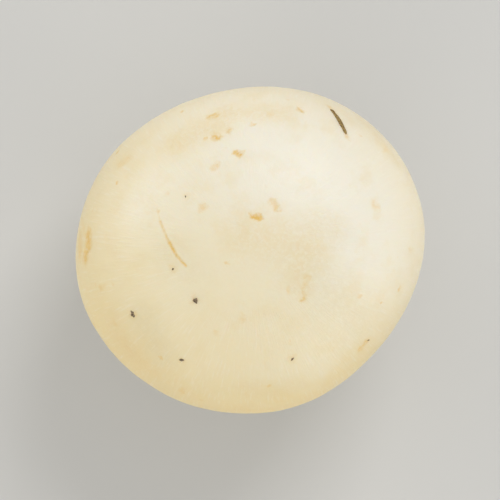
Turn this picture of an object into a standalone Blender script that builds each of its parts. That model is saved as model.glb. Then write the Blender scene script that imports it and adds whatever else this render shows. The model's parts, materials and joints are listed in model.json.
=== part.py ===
"""A white button mushroom with a closed cap, standing on the cut end of its stem.

Metres, +Z up. The origin is on the surface that the mushroom stands on, under the middle of its cap.
Each piece is first turned round the Z axis as a true solid of revolution. Then grow() moves every
point of every piece by the same smooth rule, which makes the form oval, tilted and bent as a grown
one is and keeps the pieces as far apart as they were turned.
"""

import math

import bmesh
import bpy
from mathutils import Vector

MM = 0.001

# The cap, seen from above and from the side
CAP_RADIUS = 20.25 * MM
CAP_TOP = 36.5 * MM
CAP_WIDEST = 21.5 * MM
CAP_BOTTOM = 11.0 * MM
ROLL_RADIUS = 13.4 * MM
DOME_SQUARENESS = 2.12
ROLL_SQUARENESS = 1.88

# The thin edge of the cap, which is tucked in under it
LIP_RADIUS = 12.1 * MM
LIP_THICKNESS = 1.1 * MM
LIP_TURN = (233.0, 95.0)
TUCK_RISE = 1.7 * MM
TUCK_SWEEP = 52.0

# The veil, a skin between the cap's edge and the stem
VEIL_THICKNESS = 0.8 * MM
VEIL_RIM_HEIGHT = 13.1 * MM
VEIL_RIM_RADIUS = 13.5 * MM
VEIL_SAG = 0.5 * MM

# The veil's collar, where it turns down along the stem
COLLAR_BOTTOM = 10.5 * MM
COLLAR_THICKNESS = 0.75 * MM
COLLAR_HEM = 0.5 * MM
COLLAR_HEM_BEVEL = 0.1 * MM
COLLAR_TURN = 1.7 * MM

# The stem, cut off square at the height where the mushroom stands
STEM_RADIUS = 7.3 * MM
STEM_FLARE = 0.85 * MM
FLARE_HEIGHT = 3.2 * MM
STEM_TOP = 18.5 * MM
CUT_EDGE = 0.9 * MM

# Touching pieces keep this gap
GAP = 0.3 * MM

# Waves that run round the mushroom: how many, the phase of each in radians, and its share of the depth
LIP_WAVES = ((5, 0.7, 1.0), (9, 2.1, 0.7), (14, 0.0, 0.5))
LIP_WAVE_DEPTH = 0.22 * MM
LIP_WAVE_REACH = 1.3 * MM
LIP_WAVE_FADE = 0.5 * MM
PLEATS = ((24, 0.0, 0.6), (17, 1.0, 0.4))
PLEAT_DEPTH = 0.2 * MM
PLEAT_FADE = 1.0 * MM
RIDGES = ((3, 2.2, 1.0), (7, 3.6, 0.7), (11, 1.6, 0.5))
RIDGE_DEPTH = 0.13 * MM
RIDGE_FADE = 3.5 * MM

# How the grown form departs from the turned one; each lobe is its share of the radius and its azimuth
PLAN_LOBES = {2: (0.042, 19.5), 3: (0.009, 38.0), 4: (0.004, 19.0), 5: (0.004, -3.0)}
CAP_SLOPE = (math.tan(math.radians(1.6)), math.tan(math.radians(-2.2)))
TILT_FROM = 3.0 * MM
TILT_FULL = 13.0 * MM
MARGIN_LIFT = 0.45 * MM
LIFT_AZIMUTH = 62.0
STEM_LEAN = (1.1 * MM, -0.8 * MM)

# Shallow hollows in the cap: azimuth, elevation and spread in degrees, and depth
HOLLOWS = (
    (-38.0, 30.0, 24.0, 0.35 * MM),
    (215.0, 18.0, 20.0, 0.35 * MM),
    (118.0, 30.0, 26.0, 0.30 * MM),
    (250.0, 74.0, 17.0, 0.40 * MM),
)

# How finely each piece is turned, and each stretch of its profile is stepped
CAP_SEGMENTS = 72
VEIL_SEGMENTS = 84
STEM_SEGMENTS = 48
CROWN_EDGE = 88.0
DOME_STEPS = 14
ROLL_STEPS = 9
TURN_STEPS = 4
VEIL_STEPS = 5
STEM_STEPS = 10
MERGE = 0.001 * MM
SHARP_ANGLE = math.radians(45.0)

# Colour and roughness of each piece
FINISHES = {
    "cap": ((0.86, 0.79, 0.62, 1.0), 0.52),
    "veil": ((0.87, 0.82, 0.69, 1.0), 0.75),
    "stem": ((0.84, 0.76, 0.58, 1.0), 0.68),
}


def arc(centre, radii, start, end, steps, squareness=2.0):
    """Points (radius, height) of a superellipse from start to end degrees: 0 is outward and 90 is up."""
    power = 2.0 / squareness
    points = []
    for step in range(steps + 1):
        angle = math.radians(start + (end - start) * step / steps)
        across, up = math.cos(angle), math.sin(angle)
        across = math.copysign(abs(across) ** power, across)
        up = math.copysign(abs(up) ** power, up)
        points.append((centre[0] + radii[0] * across, centre[1] + radii[1] * up))
    return points


def line(start, end, steps):
    """Points from start to end, without the first one."""
    shares = [step / steps for step in range(1, steps + 1)]
    return [tuple(a + (b - a) * share for a, b in zip(start, end)) for share in shares]


def smooth_step(value, low, high):
    """0 below low, 1 above high, and an even rise between them."""
    share = min(1.0, max(0.0, (value - low) / (high - low)))
    return share * share * (3.0 - 2.0 * share)


def waves(turn, terms):
    """The sum of the waves at this angle round the mushroom."""
    return sum(share * math.sin(count * turn + phase) for count, phase, share in terms)


def stem_radius(height):
    """The stem's radius before its ridges: nearly even, and wider towards its foot."""
    return STEM_RADIUS + STEM_FLARE * math.exp(-((height / FLARE_HEIGHT) ** 2))


def veil_height(radius):
    """Height of the veil's upper face, which sags a little between its rim and the stem."""
    inner = stem_radius(VEIL_RIM_HEIGHT) + GAP
    share = (VEIL_RIM_RADIUS - radius) / (VEIL_RIM_RADIUS - inner)
    return VEIL_RIM_HEIGHT + VEIL_THICKNESS - VEIL_SAG * math.sin(share * math.pi / 2.0)


def plan_lobes(turn):
    """How much further out the cap reaches at this angle, as a share of its radius."""
    return sum(
        share * math.cos(count * (turn - math.radians(azimuth)))
        for count, (share, azimuth) in PLAN_LOBES.items()
    )


def grow(point):
    """Moves a point of the turned form to where the grown mushroom has it."""
    outward = (math.hypot(point.x, point.y) / CAP_RADIUS) ** 2
    turn = math.atan2(point.y, point.x)
    widen = 1.0 + outward * plan_lobes(turn)
    lean = max(0.0, 1.0 - point.z / CAP_WIDEST) ** 2
    above_foot = smooth_step(point.z, TILT_FROM, TILT_FULL)
    tilt = CAP_SLOPE[0] * point.x + CAP_SLOPE[1] * point.y
    lift = MARGIN_LIFT * outward * math.cos(2.0 * (turn - math.radians(LIFT_AZIMUTH)))
    return Vector((
        point.x * widen + STEM_LEAN[0] * lean,
        point.y * widen + STEM_LEAN[1] * lean,
        point.z + above_foot * (tilt + lift),
    ))


def press_hollows(point):
    """Presses the shallow hollows into the cap's outside."""
    centre = Vector((0.0, 0.0, CAP_WIDEST))
    outward = (point - centre).normalized()
    for azimuth, elevation, spread, depth in HOLLOWS:
        turn, rise = math.radians(azimuth), math.radians(elevation)
        towards = Vector((
            math.cos(turn) * math.cos(rise),
            math.sin(turn) * math.cos(rise),
            math.sin(rise),
        ))
        away = outward.angle(towards, 0.0) / math.radians(spread)
        point = point - outward * depth * math.exp(-(away**2))
    return point


def wave_lip(point):
    """Makes the cap's thin edge run a little in and out."""
    radius = math.hypot(point.x, point.y)
    turn = math.atan2(point.y, point.x)
    near = math.exp(-(((radius - LIP_RADIUS) / LIP_WAVE_REACH) ** 2))
    below_rim = VEIL_RIM_HEIGHT - point.z
    near *= smooth_step(below_rim, -LIP_WAVE_FADE, LIP_WAVE_FADE)
    shift = LIP_WAVE_DEPTH * near * waves(turn, LIP_WAVES) / max(radius, MERGE)
    return Vector((point.x * (1.0 + shift), point.y * (1.0 + shift), point.z))


def cap_form(point):
    return grow(wave_lip(press_hollows(point)))


def veil_form(point):
    """Folds fine pleats into the veil's lower face, between the cap's edge and the collar."""
    radius = math.hypot(point.x, point.y)
    turn = math.atan2(point.y, point.x)
    inner = stem_radius(COLLAR_BOTTOM) + GAP
    open_part = smooth_step(LIP_RADIUS - radius, 0.0, PLEAT_FADE)
    open_part *= smooth_step(radius - inner, 0.0, PLEAT_FADE)
    if point.z > veil_height(radius) - VEIL_THICKNESS / 2.0:
        open_part = 0.0
    pleats = 1.0 + waves(turn, PLEATS)
    return grow(Vector((point.x, point.y, point.z - PLEAT_DEPTH * open_part * pleats)))


def stem_form(point):
    """Raises blunt ridges along the stem below the veil's collar."""
    turn = math.atan2(point.y, point.x)
    free = smooth_step(COLLAR_BOTTOM - GAP - point.z, 0.0, RIDGE_FADE)
    shift = RIDGE_DEPTH * free * waves(turn, RIDGES) / STEM_RADIUS
    return grow(Vector((point.x * (1.0 + shift), point.y * (1.0 + shift), point.z)))


def cap_profile():
    """From the crown down the outside, round the lip and back up the underside to the socket."""
    dome_centre = (0.0, CAP_WIDEST)
    dome_radii = (CAP_RADIUS, CAP_TOP - CAP_WIDEST)
    crown = arc(dome_centre, dome_radii, 90.0, CROWN_EDGE, 1, DOME_SQUARENESS)
    dome = arc(dome_centre, dome_radii, CROWN_EDGE, 0.0, DOME_STEPS, DOME_SQUARENESS)
    roll_radii = (CAP_RADIUS - ROLL_RADIUS, CAP_WIDEST - CAP_BOTTOM)
    roll = arc((ROLL_RADIUS, CAP_WIDEST), roll_radii, 0.0, -90.0, ROLL_STEPS, ROLL_SQUARENESS)

    tuck_width = (ROLL_RADIUS - LIP_RADIUS) / math.sin(math.radians(TUCK_SWEEP))
    tuck_centre = (ROLL_RADIUS, CAP_BOTTOM + TUCK_RISE)
    tuck = arc(tuck_centre, (tuck_width, TUCK_RISE), -90.0, -90.0 - TUCK_SWEEP, TURN_STEPS)
    edge_radius = LIP_THICKNESS / 2.0
    edge_start = math.radians(LIP_TURN[0])
    edge_centre = (
        tuck[-1][0] - edge_radius * math.cos(edge_start),
        tuck[-1][1] - edge_radius * math.sin(edge_start),
    )
    edge = arc(edge_centre, (edge_radius, edge_radius), LIP_TURN[0], LIP_TURN[1], TURN_STEPS)

    pocket_radius = VEIL_RIM_RADIUS + GAP
    ceiling_height = VEIL_RIM_HEIGHT + VEIL_THICKNESS + GAP
    socket_radius = stem_radius(CAP_WIDEST) + GAP
    floor = line(edge[-1], (pocket_radius, VEIL_RIM_HEIGHT - GAP), 2)
    wall = line(floor[-1], (pocket_radius, ceiling_height), 1)
    ceiling = line(wall[-1], (socket_radius, ceiling_height), 3)
    socket = line(ceiling[-1], (socket_radius, STEM_TOP + GAP), 2)
    socket_end = line(socket[-1], (0.0, STEM_TOP + GAP), 1)
    outside = crown + dome[1:] + roll[1:] + tuck[1:] + edge[1:]
    return outside + floor + wall + ceiling + socket + socket_end


def veil_profile():
    """A closed loop: the rim, the lower face inwards, the collar down the stem, and the upper face back."""
    bore = stem_radius(COLLAR_BOTTOM) + GAP
    turn_radius = bore + COLLAR_THICKNESS + COLLAR_TURN
    flat = line((VEIL_RIM_RADIUS, 0.0), (turn_radius, 0.0), VEIL_STEPS)
    under = [(radius, veil_height(radius) - VEIL_THICKNESS) for radius, _ in flat]
    rim = [(VEIL_RIM_RADIUS, veil_height(VEIL_RIM_RADIUS) - VEIL_THICKNESS)]
    turn_centre = (turn_radius, under[-1][1] - COLLAR_TURN)
    turn_down = arc(turn_centre, (COLLAR_TURN, COLLAR_TURN), 90.0, 180.0, TURN_STEPS)
    collar = [(bore + COLLAR_HEM, COLLAR_BOTTOM), (bore, COLLAR_BOTTOM + COLLAR_HEM_BEVEL)]
    across = [(bore, 0.0)] + line((bore, 0.0), (VEIL_RIM_RADIUS, 0.0), VEIL_STEPS)
    upper = [(radius, veil_height(radius)) for radius, _ in across]
    return rim + under + turn_down[1:] + collar + upper


def stem_profile():
    """From the middle of the cut up the side to the middle of the top."""
    cut_rim = stem_radius(0.0) - CUT_EDGE
    cut = [(0.0, 0.0), (cut_rim, 0.0)]
    edge = arc((cut_rim, CUT_EDGE), (CUT_EDGE, CUT_EDGE), -90.0, 0.0, TURN_STEPS)
    side = line((0.0, CUT_EDGE), (0.0, STEM_TOP - CUT_EDGE), STEM_STEPS)
    side = [(stem_radius(height), height) for _, height in side]
    shoulder = [(stem_radius(STEM_TOP) - CUT_EDGE, STEM_TOP), (0.0, STEM_TOP)]
    return cut + edge[1:] + side + shoulder


def finish_material(name):
    """The piece's plain colour and gloss."""
    colour, roughness = FINISHES[name]
    material = bpy.data.materials.new(f"{name}_flesh")
    material.use_nodes = True
    shader = material.node_tree.nodes["Principled BSDF"]
    shader.inputs["Base Color"].default_value = colour
    shader.inputs["Roughness"].default_value = roughness
    shader.inputs["Metallic"].default_value = 0.0
    return material


def turned_piece(name, profile, segments, form, is_ring=False):
    """Turns the profile round the Z axis into a closed solid, and moves its points by form."""
    work = bmesh.new()
    corners = [work.verts.new((radius, 0.0, height)) for radius, height in profile]
    if is_ring:
        corners.append(corners[0])
    sides = [work.edges.new(pair) for pair in zip(corners, corners[1:])]
    bmesh.ops.spin(
        work,
        geom=work.verts[:] + sides,
        cent=(0.0, 0.0, 0.0),
        axis=(0.0, 0.0, 1.0),
        angle=2.0 * math.pi,
        steps=segments,
    )
    bmesh.ops.remove_doubles(work, verts=work.verts[:], dist=MERGE)
    for vertex in work.verts:
        vertex.co = form(vertex.co)
    bmesh.ops.recalc_face_normals(work, faces=work.faces[:])
    mesh = bpy.data.meshes.new(name)
    work.to_mesh(mesh)
    work.free()
    mesh.shade_smooth()
    mesh.set_sharp_from_angle(angle=SHARP_ANGLE)
    mesh.materials.append(finish_material(name))
    piece = bpy.data.objects.new(name, mesh)
    bpy.context.scene.collection.objects.link(piece)
    return piece


def stand_on_origin(pieces):
    """Parents the pieces to an empty, moved so that the origin is under the middle of their box."""
    points = [vertex.co for piece in pieces for vertex in piece.data.vertices]
    middle = [(min(p[i] for p in points) + max(p[i] for p in points)) / 2.0 for i in (0, 1)]
    mushroom = bpy.data.objects.new("button_mushroom", None)
    mushroom.location = (-middle[0], -middle[1], 0.0)
    bpy.context.scene.collection.objects.link(mushroom)
    for piece in pieces:
        piece.parent = mushroom


def main():
    for old in list(bpy.data.objects):
        bpy.data.objects.remove(old)
    cap = turned_piece("cap", cap_profile(), CAP_SEGMENTS, cap_form)
    veil = turned_piece("veil", veil_profile(), VEIL_SEGMENTS, veil_form, is_ring=True)
    stem = turned_piece("stem", stem_profile(), STEM_SEGMENTS, stem_form)
    stand_on_origin([cap, veil, stem])


main()
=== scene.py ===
# %% [markdown]
# # A white button mushroom, seen from above
#
# This lesson dresses one closed button mushroom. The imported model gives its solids: a cap, the veil
# under the cap and a stem. Here each solid is copied, given small even faces, and carved and coloured
# until it looks like grown flesh. Nothing is moved or resized, so every new piece sits where its solid
# sits. All lengths are in metres, and +Z is up.

import json
import math
import random

import bmesh
import bpy
from mathutils import Matrix, Vector, noise
from mathutils.bvhtree import BVHTree


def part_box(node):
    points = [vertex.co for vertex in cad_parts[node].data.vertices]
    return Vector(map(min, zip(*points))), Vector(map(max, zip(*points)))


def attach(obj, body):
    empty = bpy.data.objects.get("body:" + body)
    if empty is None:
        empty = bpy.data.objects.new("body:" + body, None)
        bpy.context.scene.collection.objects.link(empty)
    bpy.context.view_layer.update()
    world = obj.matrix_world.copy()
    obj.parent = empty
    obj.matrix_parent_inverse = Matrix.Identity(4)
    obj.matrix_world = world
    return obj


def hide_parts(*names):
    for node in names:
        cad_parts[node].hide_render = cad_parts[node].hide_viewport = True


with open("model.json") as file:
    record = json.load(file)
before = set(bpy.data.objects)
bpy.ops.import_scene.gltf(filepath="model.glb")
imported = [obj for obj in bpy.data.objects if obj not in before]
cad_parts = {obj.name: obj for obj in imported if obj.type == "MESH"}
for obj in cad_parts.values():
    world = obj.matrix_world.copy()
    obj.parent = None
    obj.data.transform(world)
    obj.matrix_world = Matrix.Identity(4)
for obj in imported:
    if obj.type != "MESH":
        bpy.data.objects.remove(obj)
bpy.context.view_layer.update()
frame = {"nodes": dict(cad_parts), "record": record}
MM = 0.001
print("solids:", ", ".join(sorted(frame["nodes"])))

# %% [markdown]
# ## Where the picture was taken from
#
# The photograph looks straight down on the cap, so a place on the cap can be named by its pixel. The
# cap's width in pixels gives the scale. The camera gets a long lens and stands far off, as a product
# photographer's does, because a short lens near the cap would hide its sides. Its distance is measured
# from the height where the cap is widest, which is where the outline in the photograph lies.

# %% Set up the scale and the camera
PHOTO_CAP_CENTRE = (267.6, 201.5)
PHOTO_CAP_WIDTH = 99.6
PICTURE_SHARE = 0.70
LENS = 400.0
SENSOR = 36.0
NEAREST = 0.01
WIDEST_SHARE = 0.41

cap_low, cap_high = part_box("cap")
cap_width = cap_high.x - cap_low.x
widest_height = cap_low.z + (cap_high.z - cap_low.z) * WIDEST_SHARE
pixel = cap_width / PHOTO_CAP_WIDTH


def from_photo(across, down):
    """Where a pixel of the photograph falls on the plan of the cap."""
    x = (across - PHOTO_CAP_CENTRE[0]) * pixel
    y = (PHOTO_CAP_CENTRE[1] - down) * pixel
    return Vector((x, y, 0.0))


scene = bpy.context.scene
camera = bpy.data.objects.new("camera", bpy.data.cameras.new("camera"))
camera.data.lens = LENS
camera.data.sensor_width = SENSOR
camera.data.clip_start = NEAREST
view_width = cap_width / PICTURE_SHARE
camera.location = (0.0, 0.0, widest_height + view_width * LENS / SENSOR)
scene.collection.objects.link(camera)
scene.camera = camera
print(f"one pixel is {pixel / MM:.3f} mm, and the camera stands {camera.location.z:.2f} m up")

# %% [markdown]
# ## Floor and light
#
# The light comes from the top of the picture and a little from the right, through a wide soft box, so
# its highlight on the cap is broad and has no edge. Three more boxes stand low, as reflector boards do,
# and lighten the sides of the cap. A pale sky fills the rest. The floor is a large plain sheet.

# %% Lay the floor and hang the lights
FLOOR_SIZE = 6.0
FLOOR_COLOUR = (0.62, 0.62, 0.61, 1.0)
FLOOR_ROUGHNESS = 0.9
SKY_COLOUR = (1.0, 0.995, 0.98, 1.0)
SKY_STRENGTH = 0.565
SOFT_BOXES = {
    "key_light": ((0.26, 0.46, 0.56), 0.36, 2.25, (1.0, 0.99, 0.97)),
    "front_board": ((-0.30, -0.62, 0.16), 0.60, 1.9, (1.0, 0.96, 0.88)),
    "left_board": ((-0.62, 0.28, 0.14), 0.50, 1.5, (1.0, 0.97, 0.90)),
    "right_board": ((0.60, -0.38, 0.16), 0.50, 1.45, (1.0, 0.98, 0.93)),
}


def plain_material(name, colour, roughness):
    """A plain Principled material."""
    material = bpy.data.materials.new(name)
    material.use_nodes = True
    shader = material.node_tree.nodes["Principled BSDF"]
    shader.inputs["Base Color"].default_value = colour
    shader.inputs["Roughness"].default_value = roughness
    return material


def soft_box(name, place, size, power, colour):
    """A square area light that faces the cap."""
    lamp = bpy.data.lights.new(name, "AREA")
    lamp.size = size
    lamp.energy = power
    lamp.color = colour
    light = bpy.data.objects.new(name, lamp)
    light.location = place
    aim = Vector((0.0, 0.0, cap_low.z)) - Vector(place)
    light.rotation_euler = aim.to_track_quat("-Z", "Y").to_euler()
    scene.collection.objects.link(light)
    return light


bpy.ops.mesh.primitive_plane_add(size=FLOOR_SIZE)
floor = bpy.context.object
floor.name = "floor"
floor.data.materials.append(plain_material("floor_paper", FLOOR_COLOUR, FLOOR_ROUGHNESS))

for name, (place, size, power, colour) in SOFT_BOXES.items():
    soft_box(name, place, size, power, colour)

scene.world = bpy.data.worlds.new("studio_sky")
scene.world.use_nodes = True
sky = scene.world.node_tree.nodes["Background"]
sky.inputs["Color"].default_value = SKY_COLOUR
sky.inputs["Strength"].default_value = SKY_STRENGTH
scene.view_settings.view_transform = "Standard"
print(len(SOFT_BOXES), "soft boxes hung")

# %% [markdown]
# ## A body to carve
#
# The solids are coarse cages: flat facets a few millimetres wide. A sculptor would round the cage off
# and then remesh it, so that the clay has small even faces everywhere and no pole or seam shows. The
# same is done here with three modifiers: Subdivision Surface rounds the facets, Remesh lays the even
# faces, and Smooth takes away the faint steps that a voxel remesh leaves.

# %% Make a finely meshed copy of a solid
WELD = 0.01 * MM
FLAT_JOIN = math.radians(40.0)
ANY_SHAPE = math.radians(180.0)
ROUNDING_LEVELS = 2
RELAX_PASSES = 6
RELAX_SHARE = 0.5


def fine_copy(node, name, face_size):
    """A new object with the rounded form of a solid, in even faces of about face_size."""
    cage = bmesh.new()
    cage.from_mesh(frame["nodes"][node].data)
    bmesh.ops.remove_doubles(cage, verts=cage.verts[:], dist=WELD)
    bmesh.ops.join_triangles(
        cage, faces=cage.faces[:], angle_face_threshold=FLAT_JOIN, angle_shape_threshold=ANY_SHAPE
    )
    mesh = bpy.data.meshes.new(name)
    cage.to_mesh(mesh)
    cage.free()
    piece = bpy.data.objects.new(name, mesh)
    scene.collection.objects.link(piece)
    rounding = piece.modifiers.new("round_the_facets", "SUBSURF")
    rounding.levels = ROUNDING_LEVELS
    rounding.render_levels = ROUNDING_LEVELS
    even = piece.modifiers.new("even_faces", "REMESH")
    even.mode = "VOXEL"
    even.voxel_size = face_size
    relax = piece.modifiers.new("relax", "SMOOTH")
    relax.factor = RELAX_SHARE
    relax.iterations = RELAX_PASSES
    graph = bpy.context.evaluated_depsgraph_get()
    fine = bpy.data.meshes.new_from_object(piece.evaluated_get(graph))
    piece.modifiers.clear()
    piece.data = fine
    bpy.data.meshes.remove(mesh)
    fine.name = name
    fine.shade_smooth()
    print(f"{name}: {len(fine.polygons)} faces of about {face_size / MM:.2f} mm")
    return piece


# %% [markdown]
# ## Chisels
#
# Carving is moving each point of the mesh along its normal by a small depth. A Displace modifier could do
# it from a texture, but a short function can mix several noises and leave the hidden faces alone. The
# noise is the same at every run. Plain noise gives round lumps. Noise that is stretched along the growth
# of the flesh gives fibres: they run from the crown to the margin on the cap, outwards on the veil, and
# lengthwise on the stem.

# %% Noise and a way to carve with it
SEED_STEP = Vector((17.3, 5.1, 9.7))


def fade(value, low, high):
    """0 below low, 1 above high, and an even rise between them."""
    share = min(1.0, max(0.0, (value - low) / (high - low)))
    return share * share * (3.0 - 2.0 * share)


def lumps(point, size, seed):
    """Round lumps and hollows of about that size, from -1 to 1."""
    return noise.noise(point / size + SEED_STEP * seed)


def fibres(point, axis, rim, width, length, seed):
    """Fibres that run away from an upright axis, as wide as width at the radius rim."""
    outward = Vector((point.x - axis.x, point.y - axis.y, 0.0))
    run = (outward.length - point.z) / length
    ring = outward.normalized() * (rim / width)
    return noise.noise(Vector((ring.x, ring.y, run)) + SEED_STEP * seed)


def carve(piece, relief):
    """Moves every point along its normal by relief(point, normal)."""
    mesh = piece.data
    places = [(vertex.co.copy(), vertex.normal.copy()) for vertex in mesh.vertices]
    depths = [relief(point, normal) for point, normal in places]
    for vertex, (point, normal), depth in zip(mesh.vertices, places, depths):
        vertex.co = point + normal * depth
    mesh.update()
    print(f"{piece.name}: carved from {min(depths) / MM:.2f} to {max(depths) / MM:.2f} mm")


# %% [markdown]
# ## What the photograph shows on the cap
#
# The skin has small tan spots where it was rubbed, a thin curved scratch at the left, and broad faint
# bruises, some of which are painted shade. Duller patches are painted shade and clearer patches are
# painted highlight. Each mark is written down as a stroke: the pixel where it starts, the pixel where it
# ends, its width in millimetres and its strength.
# The spots and the scratch are first carved into the skin, and all the strokes are coloured later, so a
# mark's hollow and its colour always lie in the same place.

# %% Write the marks down
TAN_SPOTS = (
    ((268.4, 192.4), (270.0, 192.6), 0.98, 1.00),
    ((273.8, 188.0), (275.0, 190.4), 1.05, 0.50),
    ((263.7, 174.4), (265.0, 175.0), 1.05, 0.90),
    ((258.0, 169.9), (258.5, 170.3), 1.20, 0.90),
    ((256.4, 164.2), (257.4, 163.6), 1.25, 0.75),
    ((261.6, 168.2), (262.0, 167.6), 0.95, 0.50),
    ((268.4, 166.4), (268.4, 166.4), 0.75, 0.60),
    ((273.4, 163.2), (273.4, 163.2), 0.90, 0.30),
    ((281.3, 161.9), (282.3, 162.4), 0.95, 0.90),
    ((257.4, 178.3), (258.2, 177.9), 1.10, 0.45),
    ((254.3, 189.6), (254.3, 189.6), 1.45, 0.52),
    ((231.0, 177.4), (233.0, 176.0), 1.70, 0.20),
    ((302.3, 188.4), (302.8, 189.4), 1.40, 0.38),
    ((312.8, 201.4), (312.8, 201.4), 1.10, 0.30),
    ((298.4, 229.4), (300.4, 227.2), 0.95, 0.62),
    ((282.2, 215.2), (282.4, 214.8), 1.00, 0.62),
    ((282.6, 213.4), (283.4, 209.2), 0.95, 0.36),
    ((290.0, 161.0), (295.0, 169.8), 1.00, 0.45),
    ((278.6, 212.8), (278.8, 212.2), 0.85, 0.28),
    ((221.9, 197.4), (222.1, 200.4), 2.10, 0.95),
    ((222.1, 200.4), (221.1, 204.0), 1.80, 0.85),
    ((219.4, 198.0), (219.6, 202.6), 2.40, 0.50),
    ((219.9, 193.4), (220.6, 195.8), 1.50, 0.22),
    ((258.2, 224.4), (258.2, 224.4), 0.90, 0.30),
    ((265.6, 220.4), (265.2, 221.2), 1.00, 0.26),
    ((225.4, 212.2), (225.4, 212.2), 1.10, 0.30),
    ((229.4, 221.8), (229.8, 222.4), 1.30, 0.34),
    ((244.6, 186.0), (244.6, 186.0), 0.80, 0.24),
    ((232.4, 229.0), (238.0, 234.4), 4.80, 0.17),
    ((262.0, 246.2), (284.0, 244.4), 4.40, 0.13),
)
SCRATCH = (
    ((241.6, 190.0), (242.6, 193.6), 0.32, 0.22),
    ((242.6, 193.6), (245.1, 199.4), 0.46, 0.62),
    ((245.1, 199.4), (247.2, 203.0), 0.54, 0.95),
    ((247.2, 203.0), (249.7, 205.9), 0.46, 0.80),
)
# Bruises; some of these strokes are painted shade.
BRUISES_AND_PAINTED_SHADE = (
    ((229.0, 223.0), (235.0, 231.0), 5.40, 0.78),
    ((235.0, 231.0), (243.0, 238.6), 6.40, 0.62),
    ((237.0, 223.0), (243.0, 230.0), 4.60, 0.22),
    ((230.0, 178.0), (233.0, 175.0), 3.20, 0.40),
    ((234.0, 173.0), (241.0, 167.4), 3.00, 0.24),
    ((247.5, 171.0), (259.0, 165.6), 6.20, 0.54),
    ((259.0, 164.0), (262.0, 163.0), 4.60, 0.62),
    ((262.0, 163.0), (277.0, 163.4), 4.60, 0.44),
    ((228.0, 199.0), (230.0, 203.5), 3.20, 0.34),
    ((243.0, 199.5), (258.0, 202.0), 4.00, 0.16),
    ((267.0, 198.0), (282.6, 201.4), 9.20, 0.54),
    ((280.5, 203.0), (282.5, 212.0), 4.40, 0.50),
    ((286.0, 193.6), (291.0, 195.0), 5.00, 0.26),
    ((264.0, 202.0), (281.0, 206.0), 11.0, 0.22),
    ((264.0, 224.0), (296.0, 220.0), 12.0, 0.24),
    ((287.0, 222.5), (292.0, 228.0), 4.40, 0.30),
    ((267.0, 240.0), (280.0, 240.0), 4.00, 0.48),
    ((289.0, 160.4), (298.6, 166.0), 3.00, 0.26),
    ((299.6, 165.4), (308.8, 176.4), 3.00, 0.50),
    ((258.0, 245.6), (282.0, 244.6), 4.60, 0.50),
)
# Duller patches: painted shade.
PAINTED_SHADE_PATCHES = (
    ((238.0, 222.0), (243.0, 230.0), 6.00, 0.34),
    ((246.0, 203.0), (252.0, 208.0), 6.00, 0.17),
    ((283.0, 207.0), (296.0, 221.0), 9.00, 0.25),
    ((286.0, 194.0), (292.0, 198.0), 5.00, 0.15),
)
# Clearer patches: painted highlight.
PAINTED_HIGHLIGHT_PATCHES = (
    ((236.0, 190.0), (242.0, 182.0), 6.00, 0.32),
    ((270.0, 177.0), (290.0, 182.0), 7.00, 0.20),
)
MARKS = (TAN_SPOTS, SCRATCH, BRUISES_AND_PAINTED_SHADE, PAINTED_SHADE_PATCHES, PAINTED_HIGHLIGHT_PATCHES)
print(sum(len(strokes) for strokes in MARKS), "marks on the cap")

# %% [markdown]
# ## Hollows in the skin
#
# Handling leaves small round pits, and each spot and scratch is a shallow hollow. A hollow could be a
# boolean cut, but that leaves hard edges. Here it is a bell curve of the distance from its middle, which
# ends softly. The pits are scattered at random over the cap, with a seed, so they never change.

# %% Pits and strokes as depths
HOLLOW_REACH = 2.0
PIT_COUNT = 26
PIT_RISES = (-0.35, 0.95)
PIT_RADII = (0.35 * MM, 0.9 * MM)
PIT_DEPTHS = (0.03 * MM, 0.08 * MM)
PIT_SEED = 11

cap_radius = cap_width / 2.0
cap_middle = Vector((0.0, 0.0, (cap_low.z + cap_high.z) / 2.0))


def scattered_pits():
    """Directions from the middle of the cap, and each pit's radius and depth."""
    draw = random.Random(PIT_SEED)
    pits = []
    for _ in range(PIT_COUNT):
        turn = draw.uniform(0.0, 2.0 * math.pi)
        rise = draw.uniform(*PIT_RISES)
        flat = math.sqrt(1.0 - rise * rise)
        towards = Vector((flat * math.cos(turn), flat * math.sin(turn), rise))
        pits.append((towards, draw.uniform(*PIT_RADII) / cap_radius, draw.uniform(*PIT_DEPTHS)))
    return pits


cap_pits = scattered_pits()


def pit_depth(point):
    """How far the handling pits sink the skin here."""
    towards = (point - cap_middle).normalized()
    depth = 0.0
    for pit, radius, deepest in cap_pits:
        away = (towards - pit).length / radius
        if away < HOLLOW_REACH:
            depth += deepest * math.exp(-away * away)
    return depth


def beside_stroke(point, start, end):
    """Distance in the plan from the stroke between two pixels of the photograph."""
    first = from_photo(*start)
    span = from_photo(*end) - first
    reach = Vector((point.x, point.y, 0.0)) - first
    share = 0.0 if span.length < WELD else min(1.0, max(0.0, reach.dot(span) / span.length_squared))
    return (reach - span * share).length


def mark_depth(point, strokes, deepest):
    """How far the strokes are sunk here."""
    depth = 0.0
    for start, end, width, strength in strokes:
        away = beside_stroke(point, start, end) / (width * MM * 0.5)
        if away < HOLLOW_REACH:
            depth = max(depth, deepest * strength * math.exp(-away * away))
    return depth


print(len(cap_pits), "pits scattered")

# %% [markdown]
# ## The cap
#
# A real cap is smooth and firm, but it is never a turned ball. Its skin has broad shallow dents where
# it was pressed as it grew, faint fibres from the crown outwards, and soft creases where the margin
# rolls under. Only these low forms are carved, each from its own noise, and the hollows are taken off
# last. The socket and the pocket inside stay as they are, because the stem and the veil fill them.

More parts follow.
